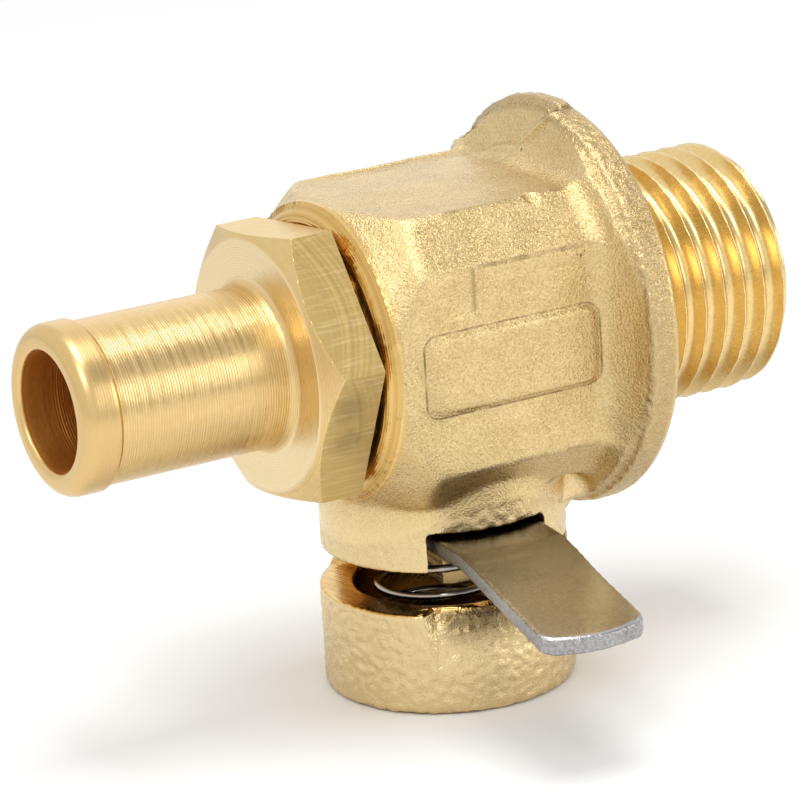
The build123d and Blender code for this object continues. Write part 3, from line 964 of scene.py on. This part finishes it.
lift, _ = die_marks(places)
calm = 1.0 - BOSS_CALM * ramp(-places[:, 2], 9.5, 12.0)
waver = calm * (WAVER * noise_at(places, 3.2, 1) + FINE_WAVER * noise_at(places, 1.1, 2)) - SKIN_LOSS
rough_rim = RIM_BITE * ragged_share(places) * (noise_at(places, 0.45, 3) - 0.25)
places = places + vertex_normals(body_mesh) * ((waver + lift + rough_rim) * forged_at)[:, None]
x, y, z = places.T
axis = np.hypot(y, z)
past_fold = ramp(y, fold_line(axis), fold_line(axis) + 0.3)
back_half = past_fold * ramp(z, 8.0, 11.0) * ramp(axis, 11.0, 12.6) * ramp(x, -3.4, -2.6)
places[:, 2] += DIE_SHIFT * back_half * forged_at
places[:, 2] = np.maximum(places[:, 2], cad_box[0][2] / MM)
set_places(body_mesh, places)
print("forged skin moved by", round(float(np.abs(waver + lift).mean()), 4), "mm on average")


# %% Thin the skin and store its masks
def store_mask(mesh, name, values):
    """Stores one value for each vertex under a name that materials read."""
    layer = mesh.attributes.new(name, "FLOAT", "POINT")
    layer.data.foreach_set("value", np.asarray(values, np.float32))


def edge_sharpness(mesh, ends):
    """How strongly the skin bulges at each vertex, from 0 on flats to 1 on outside edges."""
    p = vertex_places(mesh)
    n = vertex_normals(mesh)
    gap = p[ends[:, 1]] - p[ends[:, 0]]
    length = np.linalg.norm(gap, axis=1).clip(1e-6)
    turn = np.einsum("ij,ij->i", n[ends[:, 1]] - n[ends[:, 0]], gap) / length ** 2
    count = len(p)
    total = np.bincount(ends[:, 0], turn, count) + np.bincount(ends[:, 1], turn, count)
    curved = total / np.bincount(ends.ravel(), minlength=count).clip(1)
    for _ in range(2):
        curved = 0.5 * curved + 0.5 * neighbour_mean(curved, ends)
    return ramp(curved, 0.25, 1.1)


MOST_TRIANGLES = 190000
body_mesh = thinned(body_mesh, min(1.0, MOST_TRIANGLES / triangle_count(body_mesh)))
thin_ends, thin_places = edge_ends(body_mesh), vertex_places(body_mesh)
# The painted shade of the folds and the scoop goes into the fold mask.
painted_shade_at = die_marks(thin_places)[1]
store_mask(body_mesh, "milled", neighbour_mean(milled_share(thin_places), thin_ends))
store_mask(body_mesh, "worn_edge", edge_sharpness(body_mesh, thin_ends))
store_mask(body_mesh, "fold", painted_shade_at)
store_mask(body_mesh, "trimmed", trimmed_share(thin_places))
print("dirty points of the skin", int((painted_shade_at > 0.3).sum()), "of", len(painted_shade_at))
finish_piece("forged_body", body_mesh, forged_brass, "valve", ["valve_body"])

# %% [markdown]
# ## Engine thread
# A thread's radius depends only on the distance along its axis and the angle round it, so the
# thread follows a rule, and Geometry Nodes can build it from a flat grid. One side of the grid runs
# round the axis. The other runs round the section: up the back face, along the turns, down the end
# face and back along the bore. The two meeting sides are merged, which closes the piece.


# %% Helpers for geometry trees
def new_geometry_tree(name, inputs):
    """A geometry tree with named number inputs."""
    flow = {"Geometry": "NodeSocketGeometry"}
    return new_group(name, "GeometryNodeTree", {**flow, **inputs}, flow)


def close_tree(tree, steps, result, material):
    """Links the steps of a geometry tree in turn, and ends it with real geometry in its material."""
    paint = tree.nodes.new("GeometryNodeSetMaterial")
    paint.inputs["Material"].default_value = material
    steps = [*steps, tree.nodes.new("GeometryNodeRealizeInstances"), paint, result]
    for step, after in zip(steps, steps[1:]):
        tree.links.new(step.outputs[0], after.inputs[0])


def run_tree(tree, values):
    """Runs a geometry tree with these named values and returns a plain mesh."""
    piece = link_mesh(tree.name, bpy.data.meshes.new(tree.name))
    modifier = piece.modifiers.new(tree.name, "NODES")
    modifier.node_group = tree
    for item in tree.interface.items_tree:
        if item.in_out == "INPUT" and item.name in values:
            modifier[item.identifier] = values[item.name]
    return evaluated_mesh(piece)


print("geometry helpers ready")

# %% The thread's tree
BACK_FACE, TURNS_END, END_FACE = 0.02, 0.88, 0.95
VALLEY_WIDTH, VALLEY_CURVE, RUN_IN = 0.98, 2.2, 0.5
thread_tree, given, result = new_geometry_tree("engine_thread", {
    "Crest radius": 8.0, "Pitch": 1.5, "Depth": 0.9, "Length": 12.0, "Bore radius": 3.9,
    "End chamfer": 0.8, "Steps along": 200, "Steps round": 193,
})
grid = thread_tree.nodes.new("GeometryNodeMeshGrid")
join(given["Steps along"], grid.inputs["Vertices X"])
join(given["Steps round"], grid.inputs["Vertices Y"])
position = thread_tree.nodes.new("GeometryNodeInputPosition")
grid_x, grid_y, _ = split(Value(thread_tree, position.outputs[0]))
section = grid_x + 0.5
angle = (grid_y + 0.5) * (2 * math.pi)
up_back = spread(section, 0.0, BACK_FACE)
outward = spread(section, BACK_FACE, TURNS_END)
down_end = spread(section, TURNS_END, END_FACE)
inward = spread(section, END_FACE, 1.0)
along = (outward - inward) * given["Length"]
turn = arithmetic("FRACT", along / given["Pitch"] - angle / (2 * math.pi))
valley = abs(turn * 2.0 - 1.0)
flank = arithmetic("POWER", valley / VALLEY_WIDTH, VALLEY_CURVE)
hollow = arithmetic("SUBTRACT", 1.0, flank, clamp=True)
turned_radius = given["Crest radius"] - hollow * spread(along, 0.0, RUN_IN) * given["Depth"]
end_radius = given["Crest radius"] - given["End chamfer"] + (given["Length"] - along)
outer = arithmetic("MINIMUM", turned_radius, end_radius)
outside = up_back - down_end
radius = (outer - given["Bore radius"]) * outside + given["Bore radius"]
put = thread_tree.nodes.new("ShaderNodeCombineXYZ")
join(along, put.inputs[0])
join(radius * arithmetic("COSINE", angle), put.inputs[1])
join(radius * arithmetic("SINE", angle), put.inputs[2])
# The crest mask carries a painted highlight along the thread's crests.
crest_store = thread_tree.nodes.new("GeometryNodeStoreNamedAttribute")
join("crest", crest_store.inputs["Name"])
join(spread(valley, 0.86, 0.97) * outside, crest_store.inputs["Value"])
move = thread_tree.nodes.new("GeometryNodeSetPosition")
thread_tree.links.new(put.outputs[0], move.inputs["Position"])
merge = thread_tree.nodes.new("GeometryNodeMergeByDistance")
join(0.002, merge.inputs["Distance"])
close_tree(thread_tree, [grid, crest_store, move, merge], result, thread_brass)
print("the thread's tree has", len(thread_tree.nodes), "nodes")

# %% Make the thread
thread_mesh = run_tree(thread_tree, {
    "Crest radius": THREAD_RADIUS, "Pitch": THREAD_PITCH, "Depth": 0.88, "Length": THREAD_LENGTH,
    "Bore radius": PASSAGE_RADIUS, "End chamfer": 0.75, "Steps along": 300, "Steps round": 241,
})
print("thread edges left open", face_outward(thread_mesh))
finish_piece("engine_thread", thread_mesh, thread_brass, "valve")

# %% [markdown]
# ## Hose nipple
# The nipple is turned from hexagon bar, so it is a lathe shape except where the hexagon's flats cut
# it. Its outline is listed once as stations along the axis, and each ring of vertices takes the
# smaller of the outline and the hexagon. Fine rows near the front face carry the curved chamfer.

# %% Outline of the nipple
HEX_ACROSS = 16.5
HEX_CORNER = math.radians(23.8)
HEX_FACE_RADIUS = 7.85
HEX_SLOPE = math.tan(math.radians(30.0))
HEX_BAR_RADIUS = 9.85
TUBE_RADIUS, BEAD_RADIUS, BORE_RADIUS = 5.12, 5.37, 3.8
MOUTH, BEAD_END = -37.30, -35.0


def arc(centre_x, centre_r, size, start_deg, stop_deg, steps):
    """Points of a rounded corner in the outline."""
    angles = np.radians(np.linspace(start_deg, stop_deg, steps))
    return [(centre_x + size * math.cos(a), centre_r + size * math.sin(a)) for a in angles]


outline = [(x, BORE_RADIUS) for x in np.linspace(-21.6, MOUTH + 0.3, 24)]
outline += arc(MOUTH + 0.30, BORE_RADIUS + 0.30, 0.30, 270, 180, 6)
outline += arc(MOUTH + 0.95, BEAD_RADIUS - 0.95, 0.95, 180, 90, 14)
outline += [(MOUTH + s, BEAD_RADIUS) for s in (1.2, 1.6, 2.0)]
outline += arc(BEAD_END - 0.06, BEAD_RADIUS - 0.06, 0.06, 90, 0, 4)
outline += [(BEAD_END + 0.03, TUBE_RADIUS - 0.10), (BEAD_END + 0.14, TUBE_RADIUS - 0.12)]
outline += [(x, TUBE_RADIUS) for x in np.linspace(BEAD_END + 0.26, HEX_FRONT - 0.6, 24)]
outline += arc(HEX_FRONT - 0.6, TUBE_RADIUS + 0.6, 0.6, 270, 360, 8)[1:]
outline += [(HEX_FRONT, r) for r in np.linspace(6.1, HEX_FACE_RADIUS - 0.05, 10)]
outline += [(HEX_FRONT + s * HEX_SLOPE, HEX_FACE_RADIUS + s) for s in np.linspace(0.0, 2.0, 40)]
outline += [(x, HEX_BAR_RADIUS) for x in np.linspace(HEX_FRONT + 1.25, HEX_REAR - 0.12, 12)]
outline += [(HEX_REAR - 0.04, HEX_BAR_RADIUS - 0.1), (HEX_REAR, 9.5)]
outline += [(HEX_REAR, r) for r in np.linspace(9.0, 6.3, 12)]
outline += [(-17.75, 6.3), (-17.35, 6.95), (-16.1, 6.95), (-16.1, 5.05), (-14.65, 5.05), (-14.65, 3.2)]
outline += [(-18.0, 3.2), (-21.0, 3.2)]
print("the nipple's outline has", len(outline), "points")

# %% Make the nipple
NIPPLE_STEPS = 360
SHARPEST_SMOOTH = math.radians(22)
round_angles = HEX_CORNER + np.arange(NIPPLE_STEPS) * 2 * math.pi / NIPPLE_STEPS
from_flat = np.abs((round_angles - HEX_CORNER) % (math.pi / 3) - math.pi / 6)
flat_radius = HEX_ACROSS / 2 / np.cos(from_flat)
rows = []
for station, reach in outline:
    ring = np.full(NIPPLE_STEPS, reach)
    if reach > HEX_ACROSS / 2 - 0.5:
        ring = np.minimum(reach, flat_radius)
    ring_x = np.full(NIPPLE_STEPS, station)
    rows.append(np.stack((ring_x, -ring * np.sin(round_angles), ring * np.cos(round_angles)), 1))
nipple_points = np.concatenate(rows)
row_count = len(outline)
quads = []
for i in range(row_count):
    here, there = i * NIPPLE_STEPS, ((i + 1) % row_count) * NIPPLE_STEPS
    for j in range(NIPPLE_STEPS):
        k = (j + 1) % NIPPLE_STEPS
        quads.append((here + j, here + k, there + k, there + j))
nipple_mesh = bpy.data.meshes.new("hose_nipple")
nipple_mesh.from_pydata(nipple_points.tolist(), [], quads)
print("nipple edges left open", face_outward(nipple_mesh, SHARPEST_SMOOTH))
station_x = nipple_points[:, 0]
station_r = np.hypot(nipple_points[:, 1], nipple_points[:, 2])
on_hexagon = (station_x > HEX_FRONT + 0.1) & (station_x < HEX_REAR + 0.01) & (station_r > 8.0)
on_flats = on_hexagon & np.concatenate([reach > flat_radius - 0.02 for _, reach in outline])
store_mask(nipple_mesh, "hexagon", on_flats)
store_mask(nipple_mesh, "bore", (station_x > MOUTH + 0.25) & (station_r < 4.0))
finish_piece("nipple", nipple_mesh, turned_brass, "valve", ["hose_nipple"])

# %% [markdown]
# ## Lever
# The lever is a strip of sheet, sheared to shape and bent. A fine skin over the CAD copy, lightly
# smoothed, rounds its edges by about the radius that tumbling leaves. In the photograph the strip
# bends a little nearer the boss and less steeply, and its tip stands a little further to the right,
# so the skin is moved to match.

# %% Make the lever
LEVER_VOXEL, LEVER_ROUNDS = 0.11, 9
SOLID_BEND, PHOTO_BEND = (11.5, 15.5), (10.35, 12.9)
TIP_LEAN, TIP_BULGE, TIP_WIDER, TIP_HALF_WIDTH = 0.0244, 0.5, 0.25, 3.6


def fall(distance, bend_at, degrees):
    """How far a strip that is bent at one place has dropped at a distance from the stem."""
    return -math.tan(math.radians(degrees)) * np.maximum(distance - bend_at, 0.0)


lever_mesh = voxel_skin(merged_copy("lever"), LEVER_VOXEL)
lever_places = vertex_places(lever_mesh)
x, y, z = lever_places.T
_, from_stem = from_notch(x, y)
z += fall(from_stem, *PHOTO_BEND) - fall(from_stem, *SOLID_BEND)
x += TIP_LEAN * np.maximum(from_stem - BOSS_BORE_RADIUS, 0.0)
from_middle, _ = from_notch(x, y)
bulge = (1.0 - (from_middle / TIP_HALF_WIDTH) ** 2).clip(0.0)
y -= TIP_BULGE * ramp(from_stem, 16.0, 20.8) * bulge
x += TIP_WIDER * ramp(from_stem, 15.0, 20.5) * ramp(from_middle, 0.0, 3.4)
lever_places = soften(lever_places, edge_ends(lever_mesh), np.ones(len(lever_places)), LEVER_ROUNDS)
set_places(lever_mesh, lever_places)
side_on = fade(np.abs(vertex_normals(lever_mesh)[:, 2]), 0.35, 0.8)
store_mask(lever_mesh, "sheared", side_on)
finish_piece("lever_strip", lever_mesh, stainless, "lever", ["lever"])

# %% [markdown]
# ## Spring
# The spring follows a path: a left-hand helix of round wire. Geometry Nodes has a spiral for the
# path and sweeps a circle along it. When the lever is pressed the spring shortens towards the plug,
# and the share of its height that it keeps is printed.

# %% The spring's tree
SPRING_RADIUS, SPRING_WIRE, SPRING_PITCH = 4.4, 0.55, 1.78
SPRING_TOP, SPRING_BOTTOM = -12.58, -21.09
SPRING_START = math.radians(51)
spring_tree, given, result = new_geometry_tree(
    "lever_spring", {"Mean radius": 4.4, "Wire": 0.55, "Turns": 4.5, "Height": 8.0})
spiral = spring_tree.nodes.new("GeometryNodeCurveSpiral")
wire = spring_tree.nodes.new("GeometryNodeCurvePrimitiveCircle")
sweep = spring_tree.nodes.new("GeometryNodeCurveToMesh")
for source, target in (
    (72, spiral.inputs["Resolution"]), (True, spiral.inputs["Reverse"]),
    (given["Mean radius"], spiral.inputs["Start Radius"]),
    (given["Mean radius"], spiral.inputs["End Radius"]),
    (given["Turns"], spiral.inputs["Rotations"]), (given["Height"], spiral.inputs["Height"]),
    (20, wire.inputs["Resolution"]), (given["Wire"] * 0.5, wire.inputs["Radius"]),
    (Value(spring_tree, wire.outputs[0]), sweep.inputs["Profile Curve"]),
    (True, sweep.inputs["Fill Caps"]),
):
    join(source, target)
close_tree(spring_tree, [spiral, sweep], result, spring_steel)
print("the spring's tree has", len(spring_tree.nodes), "nodes")

# %% Make the spring
free_height = SPRING_TOP - SPRING_BOTTOM
spring_height = free_height - SPRING_WIRE
spring_mesh = run_tree(spring_tree, {
    "Mean radius": SPRING_RADIUS, "Wire": SPRING_WIRE, "Height": spring_height,
    "Turns": spring_height / SPRING_PITCH,
})
spring_foot = Matrix.Translation((STEM_X, 0.0, SPRING_BOTTOM + SPRING_WIRE / 2))
spring_mesh.transform(spring_foot @ Matrix.Rotation(SPRING_START, 4, "Z"))
coil = finish_piece("lever_spring_coil", spring_mesh, spring_steel, "valve", ["spring"])
press_travel = next(j["range_m"][1] for j in frame["joints"] if j["name"] == "lever_press") / MM
(free_height - press_travel) / free_height
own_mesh(coil)
print("spring keeps", round((free_height - press_travel) / free_height, 3), "of its height")

# %% [markdown]
# ## Inner pieces
# The ball, the seats, the stem and the seals are hidden or only glimpsed, and their CAD shapes are
# right, so they keep their meshes and take a finish.

# %% Finishes for the CAD nodes that stay
node_finish = {
    "ball": ball_plating, "seat_inlet": seat_plastic, "seat_outlet": seat_plastic,
    "thrust_washer": seat_plastic, "stem": turned_brass, "end_plug": turned_brass,
    "nipple_o_ring": seal_rubber, "stem_o_ring": seal_rubber,
}
for node, finish in node_finish.items():
    frame["nodes"][node].data.materials.clear()
    frame["nodes"][node].data.materials.append(finish)
print("finishes given to", ", ".join(node_finish))

# %% [markdown]
# ## Studio
# The photograph has a white background and soft light from all round, so the valve stands on a pale
# floor in a white room. Large soft lamps give the metal its bright bands, and two grey cards that
# only show in the metal give it its darker ones.

# %% Helpers for the studio
MIDDLE = Vector((-12.0, 0.0, -5.0))


def matt_paint(name, grey):
    """A plain matt grey."""
    material = bpy.data.materials.new(name)
    material.use_nodes = True
    dress(material.node_tree.nodes["Principled BSDF"], (grey, grey, grey, 1.0), 0.9)
    return material


def rectangle(name, half_length, half_width, height, paint):
    """A flat rectangle about the origin, in metres."""
    corners = [(-half_length, -half_width), (half_length, -half_width),
               (half_length, half_width), (-half_length, half_width)]
    mesh = bpy.data.meshes.new(name)
    mesh.from_pydata([(*corner, height) for corner in corners], [], [(0, 1, 2, 3)])
    mesh.materials.append(paint)
    return link_mesh(name, mesh)


def soft_lamp(name, place, size, power):
    """A large square lamp that points at the valve's middle; places in millimetres."""
    lamp_data = bpy.data.lights.new(name, "AREA")
    lamp_data.size = size * MM
    lamp_data.energy = power
    lamp = bpy.data.objects.new(name, lamp_data)
    lamp.location = Vector(place) * MM
    lamp.rotation_euler = (MIDDLE - Vector(place)).to_track_quat("-Z", "Y").to_euler()
    scene.collection.objects.link(lamp)


def shade_card(name, place, length, width, paint):
    """A grey card that faces the valve's middle and only shows in the metal; places in millimetres."""
    card = rectangle(name, length * MM / 2, width * MM / 2, 0.0, paint)
    forward = (MIDDLE - Vector(place)).normalized()
    across = Vector((1, 0, 0)) - forward * forward.x
    across.normalize()
    turn = Matrix((across, forward.cross(across), forward)).transposed().to_4x4()
    card.matrix_world = Matrix.Translation(Vector(place) * MM) @ turn
    card.visible_camera = False
    card.visible_diffuse = False
    card.visible_shadow = False


print("studio helpers ready")

# %% Floor, lamps and background
FLOOR_REACH = 1.5
floor_z = cad_box[0][2]
floor = rectangle("floor", FLOOR_REACH, FLOOR_REACH, floor_z, matt_paint("floor_paint", 0.9))
soft_lamp("key_lamp", (-160, -150, 220), 100, 0.17)
soft_lamp("side_lamp", (170, -190, 90), 120, 0.14)
soft_lamp("top_lamp", (-10, -20, 280), 140, 0.34)
soft_lamp("back_lamp", (110, 220, 110), 200, 0.03)
card_paint = matt_paint("card_paint", 0.50)
shade_card("upper_card", (104, -112, 174), 240, 150, card_paint)
shade_card("lower_card", (107, -218, -2), 240, 40, card_paint)

world = bpy.data.worlds.new("white_room")
scene.world = world
world.use_nodes = True
backdrop = world.node_tree.nodes["Background"]
light_path = world.node_tree.nodes.new("ShaderNodeLightPath")
rays = {socket.name: Value(world.node_tree, socket) for socket in light_path.outputs}
seen = larger(larger(rays["Is Camera Ray"], rays["Is Glossy Ray"]), rays["Is Transmission Ray"])
join((1.0, 1.0, 1.0, 1.0), backdrop.inputs["Color"])
join(spread(seen, 0.0, 1.0, 0.80, 1.0), backdrop.inputs["Strength"])
scene.view_settings.view_transform = "Standard"
print("floor at", round(floor_z / MM, 2), "mm")
